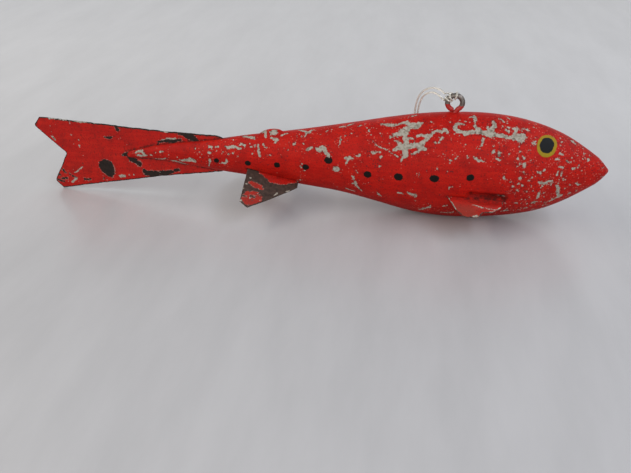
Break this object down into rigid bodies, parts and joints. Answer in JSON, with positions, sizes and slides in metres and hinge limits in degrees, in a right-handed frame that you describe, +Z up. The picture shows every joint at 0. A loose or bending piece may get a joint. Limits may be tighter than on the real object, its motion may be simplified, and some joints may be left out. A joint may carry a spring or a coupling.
{
  "type": "fish decoy",
  "caption": "Carved and painted wooden fish decoy, upright, with sheet-metal tail, pectoral and pelvic fins, a screw eye in the back and a loop of clear line.",
  "frame": {"origin": "on the standing surface, under the middle of the fish's length", "axes": "+X towards the head, -Y out of the right side, +Z up"},
  "size_m": [0.2291, 0.0522, 0.051],
  "materials": {
    "painted_wood": "hand-brushed red gloss paint over pale grey primer on wood, chipped and worn",
    "painted_sheet_metal": "thin red paint on dark sheet metal, flaked down to the metal",
    "steel_wire": "dark tarnished steel wire with remains of red paint",
    "clear_line": "clear smooth nylon line"
  },
  "bodies": {
    "root": {"body": "painted_wood", "tail_fin": "painted_sheet_metal", "pectoral_fin_right": "painted_sheet_metal", "pectoral_fin_left": "painted_sheet_metal", "pelvic_fin_right": "painted_sheet_metal", "pelvic_fin_left": "painted_sheet_metal", "screw_eye": "steel_wire", "line_hitch": "clear_line", "line_loop": "clear_line"}
  },
  "joints": []
}
